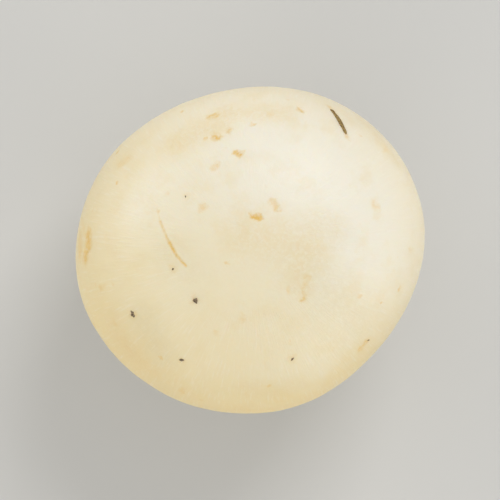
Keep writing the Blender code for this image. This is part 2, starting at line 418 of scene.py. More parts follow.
# %% Carve the cap
CAP_FACE = 0.28 * MM
DENT = (10.0 * MM, 0.11 * MM)
UNEVEN = (3.4 * MM, 0.035 * MM)
ORANGE_PEEL = (1.3 * MM, 0.008 * MM)
SKIN_FIBRE = (1.1 * MM, 9.0 * MM, 0.016 * MM)
FIBRE_FREE_CROWN = (3.0 * MM, 9.0 * MM)
CREASE = (2.2 * MM, 12.0 * MM, 0.34 * MM)
FINE_CREASE = (0.9 * MM, 7.0 * MM, 0.14 * MM)
CREASES_BELOW = 17.5 * MM
LIP_FRAY = (1.1 * MM, 0.26 * MM)
LIP_WIDTH = 1.0 * MM
LIP_HEIGHTS = (3.0 * MM, 4.0 * MM)
SPOT_DEPTH = 0.05 * MM
SCRATCH_DEPTH = 0.10 * MM
FACING_UP = 0.3
POCKET_SIDE = 0.35 * MM
POCKET_FLOOR = 1.6 * MM
POCKET_CEILING = 0.9 * MM

veil_low, veil_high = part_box("veil")
stem_low, stem_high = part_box("stem")
veil_radius = (veil_high.x - veil_low.x) / 2.0
cap_axis = Vector((0.0, 0.0, 0.0))
pocket = (veil_radius + POCKET_SIDE, veil_high.z - POCKET_FLOOR, stem_high.z + POCKET_CEILING)


def in_pocket(point):
    """True on the inner walls of the cap, which the veil and the stem fill."""
    reach, floor_height, ceiling_height = pocket
    return math.hypot(point.x, point.y) < reach and floor_height < point.z < ceiling_height


def cap_relief(point, normal):
    """The skin's low forms: dents, fibres, pits, and creases at the margin."""
    if in_pocket(point):
        return 0.0
    radius = math.hypot(point.x, point.y)
    height = DENT[1] * lumps(point, DENT[0], 1)
    height += UNEVEN[1] * lumps(point, UNEVEN[0], 2)
    height += ORANGE_PEEL[1] * lumps(point, ORANGE_PEEL[0], 3)
    silky = SKIN_FIBRE[2] * fade(radius, *FIBRE_FREE_CROWN)
    height += silky * fibres(point, cap_axis, cap_radius, *SKIN_FIBRE[:2], 4)
    rolled = 1.0 - fade(point.z, cap_low.z, CREASES_BELOW)
    height += CREASE[2] * rolled * fibres(point, cap_axis, cap_radius, *CREASE[:2], 5)
    height += FINE_CREASE[2] * rolled * fibres(point, cap_axis, cap_radius, *FINE_CREASE[:2], 7)
    at_lip = 1.0 - fade(radius, veil_radius - LIP_WIDTH, veil_radius + LIP_WIDTH)
    at_lip *= 1.0 - fade(point.z, cap_low.z + LIP_HEIGHTS[0], cap_low.z + LIP_HEIGHTS[1])
    height += LIP_FRAY[1] * at_lip * lumps(point, LIP_FRAY[0], 6)
    if normal.z > FACING_UP:
        height -= mark_depth(point, TAN_SPOTS, SPOT_DEPTH) + mark_depth(point, SCRATCH, SCRATCH_DEPTH)
    return height - pit_depth(point)


domed_cap = fine_copy("cap", "domed_cap", CAP_FACE)
carve(domed_cap, cap_relief)

# %% [markdown]
# ## The veil
#
# The veil is a skin of cottony threads, drawn tight from the cap's edge to the stem. From below it
# shows strands that run outwards, small woolly lumps, and a torn hem where it lies on the stem. The
# strands lie flat in the skin, so stretched noise shows them well enough, and only the loose ones at its
# edges become threads of their own, later on. On the real mushroom the veil is grown onto the stem, so
# its bore is carved inwards until it touches.

# %% Carve the veil
VEIL_FACE = 0.16 * MM
STRAND = (0.75 * MM, 5.0 * MM, 0.075 * MM)
WOOL = (0.62 * MM, 0.05 * MM)
HEM_TEAR = (0.8 * MM, 9.0 * MM, 0.42 * MM)
HEM_REACH = 1.3 * MM
BORE_GAP = 0.46 * MM
LOW_FACE = (-0.2, 0.5)
WOOL_ABOVE = 0.3

foot = Vector(frame["record"]["mounts"][0]["pos_m"])


def stem_axis(height):
    """Middle of the leaning stem at this height."""
    share = max(0.0, 1.0 - height / cap_middle.z)
    return Vector((foot.x * share**2, foot.y * share**2, height))


def veil_relief(point, normal):
    """Strands and wool below, a torn hem, and a bore that meets the stem."""
    axis = stem_axis(point.z)
    outward = Vector((point.x - axis.x, point.y - axis.y, 0.0))
    inward_face = max(0.0, -normal.dot(outward.normalized()))
    low_face = fade(-normal.z, *LOW_FACE)
    height = low_face * STRAND[2] * fibres(point, axis, veil_radius, *STRAND[:2], 21)
    woolly = WOOL_ABOVE + (1.0 - WOOL_ABOVE) * low_face
    height += woolly * WOOL[1] * lumps(point, WOOL[0], 22)
    at_hem = 1.0 - fade(point.z, veil_low.z, veil_low.z + HEM_REACH)
    height += at_hem * low_face * HEM_TEAR[2] * fibres(point, axis, veil_radius, *HEM_TEAR[:2], 23)
    return height * (1.0 - inward_face) + BORE_GAP * inward_face**2


pleated_veil = fine_copy("veil", "pleated_veil", VEIL_FACE)
carve(pleated_veil, veil_relief)

# %% [markdown]
# ## The stem
#
# The stem is a bundle of fibres under a soft skin, with loose woolly scales below the veil. Its foot is
# cut with a knife: the blade leaves parallel drag lines, the middle sinks a little as it dries, and the
# rim of the cut bulges. One formula carves the side and another the cut, and the place and the normal
# of a point say which of them is used. The mushroom stands on the cut, so it is only carved inwards.

# %% Carve the stem
STEM_FACE = 0.18 * MM
COARSE_FIBRE = (1.9 * MM, 9.0 * MM, 0.16 * MM)
FINE_FIBRE = (0.75 * MM, 5.0 * MM, 0.075 * MM)
STEM_LUMP = (3.6 * MM, 0.14 * MM)
SCALE = (1.2 * MM, 0.34 * MM)
SCALE_FROM = 0.20
SCALE_SQUEEZE = 0.55
PITH_RADIUS = 3.1 * MM
PITH_EDGE = (0.5, 1.3)
PITH_SINK = 0.30 * MM
KNIFE_LINE = (0.55 * MM, 7.0 * MM, 0.07 * MM)
KNIFE_STEP = (2.4 * MM, 20.0 * MM, 0.16 * MM)
KNIFE_TURN = math.radians(28.0)
CUT_RIM = (0.72, 0.93)
CUT_HEIGHT = 0.25 * MM
FACING_DOWN = -0.6
GROWN_IN = 1.0 * MM
FLOOR_CLEARANCE = 0.002 * MM

stem_radius = (stem_high.x - stem_low.x) / 2.0


def side_relief(point):
    """Fibres, lumps and woolly scales along the stem."""
    axis = stem_axis(point.z)
    height = COARSE_FIBRE[2] * fibres(point, axis, stem_radius, *COARSE_FIBRE[:2], 31)
    height += FINE_FIBRE[2] * fibres(point, axis, stem_radius, *FINE_FIBRE[:2], 32)
    height += STEM_LUMP[1] * lumps(point, STEM_LUMP[0], 33)
    long_point = Vector((point.x, point.y, point.z * SCALE_SQUEEZE))
    flake = lumps(long_point, SCALE[0], 34) + 0.5 * lumps(long_point, SCALE[0] / 2.0, 35)
    return height + SCALE[1] * max(0.0, flake - SCALE_FROM)


def cut_relief(point):
    """Knife lines and a sunken pith, as depths below the rim of the cut."""
    from_middle = (Vector((point.x, point.y, 0.0)) - foot).length
    inner, outer = PITH_EDGE
    sunken = PITH_SINK * (1.0 - fade(from_middle, PITH_RADIUS * inner, PITH_RADIUS * outer))
    turned = Matrix.Rotation(KNIFE_TURN, 3, "Z") @ point
    drag = 0.0
    for seed, (width, length, depth) in enumerate((KNIFE_LINE, KNIFE_STEP), 36):
        stroke = Vector((turned.x / width, turned.y / length, 0.0))
        drag += depth * (0.5 + 0.5 * noise.noise(stroke + SEED_STEP * seed))
    inner, outer = CUT_RIM
    inside_rim = 1.0 - fade(from_middle, stem_radius * inner, stem_radius * outer)
    return sunken + drag * inside_rim


def stem_relief(point, normal):
    """Chooses the side or the cut, and leaves the part inside the cap alone."""
    if point.z < CUT_HEIGHT and normal.z < FACING_DOWN:
        return -cut_relief(point)
    free = 1.0 - fade(point.z, veil_high.z, veil_high.z + GROWN_IN)
    return side_relief(point) * free * (1.0 - abs(normal.z))


fibrous_stem = fine_copy("stem", "fibrous_stem", STEM_FACE)
carve(fibrous_stem, stem_relief)
for vertex in fibrous_stem.data.vertices:
    vertex.co.z = max(vertex.co.z, FLOOR_CLEARANCE)

# %% [markdown]
# ## Where a loose piece lies
#
# A crumb or a thread has to sit on the carved skin, not on the solid below it. A search tree of the
# faces answers two questions fast: where a ray first meets the skin, and which place on it is nearest. A
# ray that is sent straight down on the cap finds the skin at a pixel of the photograph, and a level ray
# finds the side of the stem.

# %% Find the skin
HIGH_UP = 0.1


def skin_tree(piece):
    """A search tree of the piece's faces."""
    points = [vertex.co for vertex in piece.data.vertices]
    faces = [tuple(face.vertices) for face in piece.data.polygons]
    return BVHTree.FromPolygons(points, faces)


cap_tree = skin_tree(domed_cap)
stem_tree = skin_tree(fibrous_stem)


def on_cap(across, down):
    """The place and normal of the skin at a pixel of the photograph."""
    start = from_photo(across, down) + Vector((0.0, 0.0, HIGH_UP))
    place, normal, _, _ = cap_tree.ray_cast(start, Vector((0.0, 0.0, -1.0)))
    return place, normal


def beside(tree, middle, turn, height):
    """The place and normal of a skin at this height, on the way from the middle that turn gives."""
    outward = Vector((math.cos(turn), math.sin(turn), 0.0))
    start = Vector((middle.x, middle.y, height)) + outward * HIGH_UP
    return tree.ray_cast(start, -outward)[:2]


print("crown at", [round(value / MM, 1) for value in on_cap(*PHOTO_CAP_CENTRE)[0]])

# %% [markdown]
# ## One crumb of peat
#
# A crumb is a torn little lump, so a plain ball would look like a painted dot. Each one starts as an
# icosphere, whose faces are even all round. It is stretched at random, its surface is pushed in and out
# by two sizes of noise, and it is turned to stand on the skin and sunk in by a little more than half.

# %% Shape one crumb
CRUMB_LEVELS = 3
CRUMB_ROUGHNESS = 0.80
CRUMB_KNOBS = 2.6
FINER_KNOBS = 2.3
CRUMB_LENGTHS = (0.9, 1.6)
CRUMB_WIDTHS = (0.60, 0.95)
CRUMB_HEIGHTS = (0.45, 0.75)
SUNK = 0.60


def add_crumb(work, place, normal, size, draw):
    """A rough, closed little lump that sits in the skin."""
    sides = [draw.uniform(*limits) for limits in (CRUMB_LENGTHS, CRUMB_WIDTHS, CRUMB_HEIGHTS)]
    stretch = Matrix.Diagonal((*sides, 1.0))
    spin = Matrix.Rotation(draw.uniform(0.0, 2.0 * math.pi), 4, "Z")
    upright = normal.to_track_quat("Z", "Y").to_matrix().to_4x4()
    made = bmesh.ops.create_icosphere(work, subdivisions=CRUMB_LEVELS, radius=size / 2.0)
    for vertex in made["verts"]:
        spot = vertex.co / size * CRUMB_KNOBS + place / MM
        bump = noise.noise(spot) + 0.5 * noise.noise(spot * FINER_KNOBS)
        local = stretch @ (vertex.co * (1.0 + CRUMB_ROUGHNESS * bump))
        local += Vector((0.0, 0.0, size * (0.5 - SUNK) * 0.5))
        vertex.co = (upright @ spin @ local) + place


def mesh_piece(name, work):
    """Turns the work mesh into an object."""
    mesh = bpy.data.meshes.new(name)
    work.to_mesh(mesh)
    work.free()
    mesh.shade_smooth()
    piece = bpy.data.objects.new(name, mesh)
    scene.collection.objects.link(piece)
    return piece


print("a crumb is up to", CRUMB_LENGTHS[1], "times as long as its size")

# %% [markdown]
# ## Scatter the crumbs
#
# Mushrooms grow in a layer of dark peat, and crumbs of it always stay on them. The photograph shows
# seven on this cap, and they lie at its pixels. Most stay on the foot of the stem, where they cling in
# little heaps, with single ones between them, and a few sit low under the cap. The random numbers are
# raised to a power, which makes small crumbs common and large ones rare.

# %% Scatter the crumbs
CAP_CRUMBS = {
    (252.3, 215.5): 0.49,
    (234.7, 219.5): 0.58,
    (248.4, 232.3): 0.33,
    (279.5, 231.9): 0.36,
    (246.1, 206.8): 0.30,
    (249.6, 186.6): 0.20,
    (300.9, 226.9): 0.24,
}
UNDERSIDE_CRUMBS = 9
UNDERSIDE_SIZES = (0.16 * MM, 0.34 * MM)
UNDERSIDE_BAND = (cap_low.z + 2.0 * MM, widest_height - 1.5 * MM)
LOOSE_CRUMBS = 90
HEAPS = 11
HEAP_CRUMBS = 11
HEAP_SPREAD = 0.62 * MM
CRUMB_SEED = 5
FOOT_BAND = (0.3 * MM, 4.6 * MM)
FOOT_SIZES = (0.10 * MM, 0.52 * MM)
MOSTLY_LOW = 1.8
MOSTLY_SMALL = 2.8


def low_on_foot(draw):
    """A random turn round the stem and a height in its dirty band, more often near the cut."""
    height = FOOT_BAND[0] + (FOOT_BAND[1] - FOOT_BAND[0]) * draw.random() ** MOSTLY_LOW
    return draw.uniform(0.0, 2.0 * math.pi), height


def foot_crumb(work, turn, height, draw):
    """A crumb of random size on the foot of the stem, seldom a large one."""
    place, normal = beside(stem_tree, foot, turn, max(height, FOOT_BAND[0]))
    size = FOOT_SIZES[0] + (FOOT_SIZES[1] - FOOT_SIZES[0]) * draw.random() ** MOSTLY_SMALL
    add_crumb(work, place, normal, size, draw)


draw = random.Random(CRUMB_SEED)
work = bmesh.new()
for (across, down), size in CAP_CRUMBS.items():
    place, normal = on_cap(across, down)
    add_crumb(work, place, normal, size * MM, draw)
for _ in range(UNDERSIDE_CRUMBS):
    height = draw.uniform(*UNDERSIDE_BAND)
    place, normal = beside(cap_tree, cap_axis, draw.uniform(0.0, 2.0 * math.pi), height)
    add_crumb(work, place, normal, draw.uniform(*UNDERSIDE_SIZES), draw)
for _ in range(LOOSE_CRUMBS):
    foot_crumb(work, *low_on_foot(draw), draw)
for _ in range(HEAPS):
    turn, height = low_on_foot(draw)
    for _ in range(HEAP_CRUMBS):
        sideways = draw.gauss(0.0, HEAP_SPREAD / stem_radius)
        foot_crumb(work, turn + sideways, height + draw.gauss(0.0, HEAP_SPREAD), draw)
peat_crumbs = mesh_piece("peat_crumbs", work)
print(f"{peat_crumbs.name}: {len(peat_crumbs.data.polygons)} faces")

# %% [markdown]
# ## The sliver
#
# A thin dark splinter of straw lies near the upper edge of the cap. A bevelled curve could make it, but
# it would be as round as a wire. Here it is a flat tube that follows the skin: a ring of points is laid
# across the path at each of five pixels, thickest in the middle, and the rings are joined with faces and
# closed at both ends. Subdividing the edges with some smoothing then rounds the tube.

# %% Lay the sliver
SLIVER_PATH = ((290.3, 161.8), (291.5, 163.2), (292.8, 165.2), (293.8, 167.2), (294.6, 169.0))
SLIVER_WIDTH = 0.62 * MM
SLIVER_THICKNESS = 0.24 * MM
SLIVER_SIDES = 8
SLIVER_TIP = 0.12
SLIVER_END = 0.35
SLIVER_CUTS = 2
SLIVER_ROUNDING = 0.6


def sliver_rings():
    """For each point of the path: its place, the way across the path, the way up, and its size."""
    places = [on_cap(*pixel_place) for pixel_place in SLIVER_PATH]
    last = len(places) - 1
    rings = []
    for index, (place, normal) in enumerate(places):
        ahead = places[min(index + 1, last)][0] - places[max(index - 1, 0)][0]
        across = ahead.cross(normal).normalized()
        along = (index + SLIVER_END) / (last + 2.0 * SLIVER_END)
        size = max(SLIVER_TIP, math.sin(math.pi * along))
        rings.append((place, across, normal, size))
    return rings


work = bmesh.new()
loops = []
for place, across, up, size in sliver_rings():
    loop = []
    for side in range(SLIVER_SIDES):
        angle = 2.0 * math.pi * side / SLIVER_SIDES
        sideways = across * (math.cos(angle) * SLIVER_WIDTH / 2.0 * size)
        upwards = up * (math.sin(angle) * SLIVER_THICKNESS / 2.0 * size)
        loop.append(work.verts.new(place + sideways + upwards))
    loops.append(loop)
for one, other in zip(loops, loops[1:]):
    for side in range(SLIVER_SIDES):
        after = (side + 1) % SLIVER_SIDES
        work.faces.new((one[side], one[after], other[after], other[side]))
work.faces.new(loops[0][::-1])
work.faces.new(loops[-1])
bmesh.ops.recalc_face_normals(work, faces=work.faces[:])
bmesh.ops.subdivide_edges(
    work, edges=work.edges[:], cuts=SLIVER_CUTS, use_grid_fill=True, smooth=SLIVER_ROUNDING
)
straw_sliver = mesh_piece("straw_sliver", work)
print(f"sliver: {len(straw_sliver.data.polygons)} faces")

# %% [markdown]
# ## Loose threads on the torn hem
#
# Where the veil ends on the stem, its threads come loose and lie on the stem in a thin fringe. Hair
# curves could draw them, but a model that others load should be plain meshes, so each thread is a short
# tube of its own. It starts inside the hem, so no gap shows, and follows the stem down with a small
# random drift. The lip of the cap has some as well, where the veil grew from it.

# %% Spin the threads
HEM_THREADS = 760
LIP_THREADS = 300
THREAD_SEED = 23
THREAD_WIDTH = (0.05 * MM, 0.11 * MM)
THREAD_LENGTH = (0.6 * MM, 2.3 * MM)
THREAD_STEPS = 5
THREAD_SIDES = 5
THREAD_DRIFT = 0.17
THREAD_TAPER = 0.7
ROOT_LIFT = 0.2
HEM_INSET = 0.9 * MM
HEM_SPREAD = 0.3
HEM_DEPTH = 0.5 * MM
LIP_RING = (0.90, 0.99)
LIP_DROP = 1.0 * MM
veil_tree = skin_tree(pleated_veil)


def settle(tree, point, lift):
    """The nearest place on a skin, raised by lift."""
    place, normal, _, _ = tree.find_nearest(point)
    return place + normal * lift


def add_thread(work, tree, start, heading, length, width, draw):
    """A thin tapered tube that lies on a skin and drifts as it runs."""
    step = length / THREAD_STEPS
    place = settle(tree, start, 0.0)
    rings = []
    for index in range(THREAD_STEPS + 1):
        lift = width * (ROOT_LIFT + (1.0 - ROOT_LIFT) * index / THREAD_STEPS)
        point = settle(tree, place, lift)
        size = width / 2.0 * (1.0 - THREAD_TAPER * index / THREAD_STEPS)
        across = heading.orthogonal().normalized()
        up = heading.cross(across).normalized()
        ring = []
        for side in range(THREAD_SIDES):
            angle = 2.0 * math.pi * side / THREAD_SIDES
            ring.append(work.verts.new(point + (across * math.cos(angle) + up * math.sin(angle)) * size))
        rings.append(ring)
        drift = Vector((draw.gauss(0.0, 1.0), draw.gauss(0.0, 1.0), draw.gauss(0.0, 1.0)))
        heading = (heading + drift * THREAD_DRIFT).normalized()
        place = point + heading * step
    for one, other in zip(rings, rings[1:]):
        for side in range(THREAD_SIDES):
            after = (side + 1) % THREAD_SIDES
            work.faces.new((one[side], one[after], other[after], other[side]))
    work.faces.new(rings[0][::-1])
    work.faces.new(rings[-1])


draw = random.Random(THREAD_SEED)
work = bmesh.new()
hem_height = veil_low.z + HEM_INSET
for _ in range(HEM_THREADS):
    turn = draw.uniform(0.0, 2.0 * math.pi)
    outward = Vector((math.cos(turn), math.sin(turn), 0.0))
    start = stem_axis(hem_height) + outward * (stem_radius - HEM_DEPTH)
    start.z = hem_height + draw.uniform(-HEM_SPREAD, HEM_SPREAD) * MM
    length = draw.uniform(*THREAD_LENGTH)
    width = draw.uniform(*THREAD_WIDTH)
    add_thread(work, stem_tree, start, Vector((0.0, 0.0, -1.0)), length, width, draw)
for _ in range(LIP_THREADS):
    turn = draw.uniform(0.0, 2.0 * math.pi)
    outward = Vector((math.cos(turn), math.sin(turn), 0.0))
    start = outward * (veil_radius * draw.uniform(*LIP_RING))
    start.z = cap_low.z - LIP_DROP
    length = draw.uniform(*THREAD_LENGTH)
    width = draw.uniform(*THREAD_WIDTH)
    add_thread(work, veil_tree, start, -outward, length, width, draw)
bmesh.ops.recalc_face_normals(work, faces=work.faces[:])
veil_threads = mesh_piece("veil_threads", work)
print(f"{HEM_THREADS + LIP_THREADS} threads, {len(veil_threads.data.polygons)} faces")

# %% [markdown]
# ## Node helpers
#
# A material is a tree of nodes. Small helpers keep its recipe readable: one adds a node and fills its
# inputs, and the others each stand for one step, such as stretching a value between two limits, laying a
# second colour over a first, making clouds of noise, or turning a height into a bump.

# %% Helpers for material nodes


def node(tree, kind, inputs=None, **settings):
    """Adds a node, sets its settings, and fills its inputs with numbers or links."""
    made = tree.nodes.new(kind)
    for name, value in settings.items():
        setattr(made, name, value)
    for place, value in (inputs or {}).items():
        if isinstance(value, bpy.types.NodeSocket):
            tree.links.new(value, made.inputs[place])
        else:
            made.inputs[place].default_value = value
    return made


def between(tree, value, low, high, to_low=0.0, to_high=1.0):
    """Stretches a value softly from low..high to to_low..to_high."""
    inputs = {"Value": value, "From Min": low, "From Max": high, "To Min": to_low, "To Max": to_high}
    return node(tree, "ShaderNodeMapRange", inputs, interpolation_type="SMOOTHSTEP").outputs["Result"]


def combine(tree, operation, first, second):
    """One step of arithmetic."""
    return node(tree, "ShaderNodeMath", {0: first, 1: second}, operation=operation).outputs[0]


def over(tree, share, first, second):
    """Lays the second colour over the first by a share from 0 to 1."""
    return node(tree, "ShaderNodeMix", {0: share, 6: first, 7: second}, data_type="RGBA").outputs[2]


def cloud(tree, coords, size, detail=3.0):
    """Noise with lumps of about that size."""
    inputs = {"Vector": coords, "Scale": 1.0 / size, "Detail": detail, "Roughness": 0.55}
    return node(tree, "ShaderNodeTexNoise", inputs).outputs["Fac"]


def bumped(tree, height, depth, under=None):
    """A normal from a height of 0 to 1 that stands for this depth."""
    inputs = {"Height": height, "Distance": depth}
    if under is not None:
        inputs["Normal"] = under
    return node(tree, "ShaderNodeBump", inputs).outputs["Normal"]


print("six node helpers ready")

# %% [markdown]
# ## Fibres and flesh
#
# Fibres in colour use the same idea as the fibres that were carved: noise that is drawn out along the
# growth. Flesh lets some light in and out again, so every flesh material has soft subsurface light and a
# roughness that changes from place to place. A plain glossy white would look like plastic.

# %% Fibres and flesh as nodes
SOFT_LIGHT = 0.30
LIGHT_REACH = (1.0, 0.72, 0.42)
LIGHT_DEPTH = 1.8 * MM
SHEEN_SPREAD = 0.6
MATT_PATCHES = 2.5 * MM


def drawn_out(tree, coords, rim, width, length):
    """Coordinates that are drawn out along the growth, away from the upright axis."""
    parts = node(tree, "ShaderNodeSeparateXYZ", {0: coords}).outputs
    flat = node(tree, "ShaderNodeCombineXYZ", {0: parts[0], 1: parts[1]}).outputs[0]
    radius = node(tree, "ShaderNodeVectorMath", {0: flat}, operation="LENGTH").outputs["Value"]
    ring = node(tree, "ShaderNodeVectorMath", {0: flat}, operation="NORMALIZE").outputs[0]
    scaled = {0: ring, "Scale": rim / width}
    ring = node(tree, "ShaderNodeVectorMath", scaled, operation="SCALE").outputs[0]
    run = combine(tree, "DIVIDE", combine(tree, "SUBTRACT", radius, parts[2]), length)
    lift = node(tree, "ShaderNodeCombineXYZ", {2: run}).outputs[0]
    return node(tree, "ShaderNodeVectorMath", {0: ring, 1: lift}, operation="ADD").outputs[0]


def grain(tree, coords, rim, width, length):
    """Noise in the shape of fibres of that width and length."""
    inputs = {"Vector": drawn_out(tree, coords, rim, width, length), "Scale": 1.0, "Detail": 3.0}
    return node(tree, "ShaderNodeTexNoise", inputs).outputs["Fac"]


def flesh(name, roughness_low, roughness_high):
    """A soft, a little see-through material, with its tree, shader and object coordinates."""
    material = bpy.data.materials.new(name)
    material.use_nodes = True
    tree = material.node_tree
    shader = tree.nodes["Principled BSDF"]
    shader.inputs["Subsurface Weight"].default_value = SOFT_LIGHT
    shader.inputs["Subsurface Radius"].default_value = LIGHT_REACH
    shader.inputs["Subsurface Scale"].default_value = LIGHT_DEPTH
    shader.inputs["Sheen Roughness"].default_value = SHEEN_SPREAD
    coords = node(tree, "ShaderNodeTexCoord").outputs["Object"]
    matt = cloud(tree, coords, MATT_PATCHES)
    roughness = between(tree, matt, 0.3, 0.7, roughness_low, roughness_high)
    tree.links.new(roughness, shader.inputs["Roughness"])
    return material, tree, shader, coords


print("soft light reaches", LIGHT_DEPTH / MM, "mm into the flesh")

# %% [markdown]
# ## Strokes on the skin
#
# The marks that the photograph shows were written down as strokes: a start, an end, a width and a
# strength. A painter would put them on a picture and wrap it round the cap. Here the distance from each
# stroke is worked out in nodes instead, so a mark has a soft edge at any size and needs no picture. A
# little noise bends its edge, and a finer noise breaks it up.

# %% Strokes on the skin
EDGE_WARP = 1.3 * MM
EDGE_WARP_SIZE = 0.8 * MM
MARK_GRAIN = 0.45 * MM
MARK_BREAKS = (0.30, 0.62, 0.45, 1.0)
MARK_REACH = 0.65


def warped(tree, coords):
    """The coordinates, bent a little so that no mark has a ruled edge."""
    inputs = {"Vector": coords, "Scale": 1.0 / EDGE_WARP_SIZE, "Detail": 3.0}
    wobble = node(tree, "ShaderNodeTexNoise", inputs).outputs["Color"]
    middle = node(tree, "ShaderNodeVectorMath", {0: wobble, 1: (0.5, 0.5, 0.5)}, operation="SUBTRACT")
    scaled = {0: middle.outputs[0], "Scale": EDGE_WARP}
    shift = node(tree, "ShaderNodeVectorMath", scaled, operation="SCALE").outputs[0]
    return node(tree, "ShaderNodeVectorMath", {0: coords, 1: shift}, operation="ADD").outputs[0]


def from_stroke(tree, coords, start, end):
    """Distance from the straight stroke between two places."""
    span = end - start
    inputs = {0: coords, 1: start}
    from_start = node(tree, "ShaderNodeVectorMath", inputs, operation="SUBTRACT").outputs[0]
    if span.length < WELD:
        return node(tree, "ShaderNodeVectorMath", {0: from_start}, operation="LENGTH").outputs["Value"]
    per_length = span / span.length_squared
    inputs = {0: from_start, 1: per_length}
    share = node(tree, "ShaderNodeVectorMath", inputs, operation="DOT_PRODUCT").outputs["Value"]
    share = node(tree, "ShaderNodeClamp", {"Value": share}).outputs[0]
    along = node(tree, "ShaderNodeVectorMath", {0: span, "Scale": share}, operation="SCALE").outputs[0]
    inputs = {0: from_start, 1: along}
    return node(tree, "ShaderNodeVectorMath", inputs, operation="DISTANCE").outputs["Value"]


def marks(tree, coords, strokes):
    """How strong the strongest stroke is at each place, from 0 to 1."""
    total = 0.0
    for start, end, width, strength in strokes:
        distance = from_stroke(tree, coords, on_cap(*start)[0], on_cap(*end)[0])
        mark = between(tree, distance, width * MM * MARK_REACH, 0.0, 0.0, strength)
        total = combine(tree, "MAXIMUM", total, mark)
    broken = between(tree, cloud(tree, coords, MARK_GRAIN), *MARK_BREAKS)
    return combine(tree, "MULTIPLY", total, broken)


print("a mark fades out at", MARK_REACH, "of its width")

# %% [markdown]
# ## Freckles and streaks
#
# Besides the marks that can be placed, the skin has small ones all over. A Voronoi pattern gives every
# cell a middle and a random colour. The distance from the middle makes a dot, and the random colour
# picks the few cells that get one. On drawn out coordinates the dots become streaks down the sides.

# %% Freckles and streaks as nodes
FRECKLE_SPACING = 2.6 * MM
FRECKLE_DOTS = (0.17, 0.38)
STREAK_SPACING = (2.2 * MM, 8.0 * MM)
STREAK_DOTS = (0.26, 0.42)
STREAK_HEIGHTS = (cap_high.z - 3.0 * MM, cap_middle.z + 2.0 * MM)


def sparse_dots(tree, coords, size, share):
    """Soft dots in that share of the cells of a Voronoi pattern, a cell being 1 wide."""
    cells = node(tree, "ShaderNodeTexVoronoi", {"Vector": coords, "Scale": 1.0})
    chance = node(tree, "ShaderNodeSeparateColor", {0: cells.outputs["Color"]}).outputs
    dot = between(tree, cells.outputs["Distance"], size, size * 0.3)
    some = between(tree, chance[0], 1.0 - share, 1.0 - share * 0.3)
    return combine(tree, "MULTIPLY", dot, some)


def freckles(tree, coords):
    """Small round tan freckles."""
    inputs = {0: coords, "Scale": 1.0 / FRECKLE_SPACING}
    cells = node(tree, "ShaderNodeVectorMath", inputs, operation="SCALE").outputs[0]
    return sparse_dots(tree, cells, *FRECKLE_DOTS)


def streaks(tree, coords, height):
    """Tan streaks that run down the sides of the cap, where the skin was stretched."""
    cells = drawn_out(tree, coords, cap_radius, *STREAK_SPACING)
    on_sides = between(tree, height, *STREAK_HEIGHTS)
    return combine(tree, "MULTIPLY", sparse_dots(tree, cells, *STREAK_DOTS), on_sides)


print(f"{FRECKLE_DOTS[1]:.0%} of the freckles' cells, about {FRECKLE_SPACING / MM} mm wide, get a dot")

# %% [markdown]
# ## The skin of the cap
#
# The skin is ivory white. On the side away from the light it is painted cream and honey, which is painted
# shade. It yellows towards the margin, and in front a painted warm shade turns it amber; it is milky
# again where it rolls under. The colours are laid over each other as thin glazes, the broad ones first
# and the small marks last. The heights where the skin changes are shifted up and down by noise, because a
# level edge would look like a painted band.

# %% Mix the cap's skin
# Honey and amber below are painted shade, olive is painted shade in dull patches, buff colours bruises
# and painted shade, and pale silk is painted sheen and highlight.
IVORY = (0.860, 0.825, 0.715, 1.0)
CREAM = (0.825, 0.755, 0.560, 1.0)
MILK = (0.850, 0.800, 0.665, 1.0)
HONEY_PAINTED_SHADE = (0.810, 0.690, 0.410, 1.0)
STRAW = (0.785, 0.640, 0.345, 1.0)
AMBER_PAINTED_SHADE = (0.800, 0.620, 0.280, 1.0)
BUFF = (0.780, 0.640, 0.365, 1.0)
OLIVE_PAINTED_SHADE = (0.660, 0.600, 0.400, 1.0)
TAN = (0.770, 0.495, 0.105, 1.0)
PALE_SILK_SHEEN_HIGHLIGHT = (0.890, 0.850, 0.750, 1.0)
CAP_ROUGHNESS = (0.40, 0.56)
CAP_SHEEN = 0.20
CAP_SHEEN_TINT = (1.0, 0.90, 0.66, 1.0)
# The direction away from the light, along which shade is painted into the colour.
SHADED_SIDE = Vector((-0.60, -0.76, -0.25))
MOTTLE = (7.0 * MM, 9.0 * MM)
SILK = (0.30 * MM, 3.0 * MM)
PAINTED_SILK_SHEEN = (0.50, 0.75, 0.0, 0.26)
PAINTED_SHADE_CREAM_RISE = (-16.0 * MM, 2.0 * MM)
PAINTED_SHADE_HONEY_RISE = (-2.0 * MM, 16.0 * MM)
STRAW_TOP = cap_high.z - 1.0 * MM
STRAW_SHARE = 0.52
UNEVEN_HEIGHT = (5.0 * MM, 14.0 * MM)
PAINTED_SHADE_AMBER_HEIGHTS = (widest_height + 11.0 * MM, widest_height + 4.0 * MM)
PAINTED_SHADE_AMBER_FRONT = (-2.0 * MM, -14.0 * MM, 0.0, 0.60)
MILKY_HEIGHTS = (widest_height + 1.0 * MM, widest_height - 6.0 * MM, 0.0, 0.72)
PATCH_SIZE = 3.2 * MM
PATCHES = (0.48, 0.74, 0.0, 0.26)
STREAK_STRENGTH = 0.50
FRECKLE_STRENGTH = 0.55
CRUMB_HALO = (1.15, 0.30)
SILK_BUMP = 0.04 * MM
FINE_BUMP = (0.5 * MM, 0.04 * MM)
SUNK_BUMP = 0.06 * MM


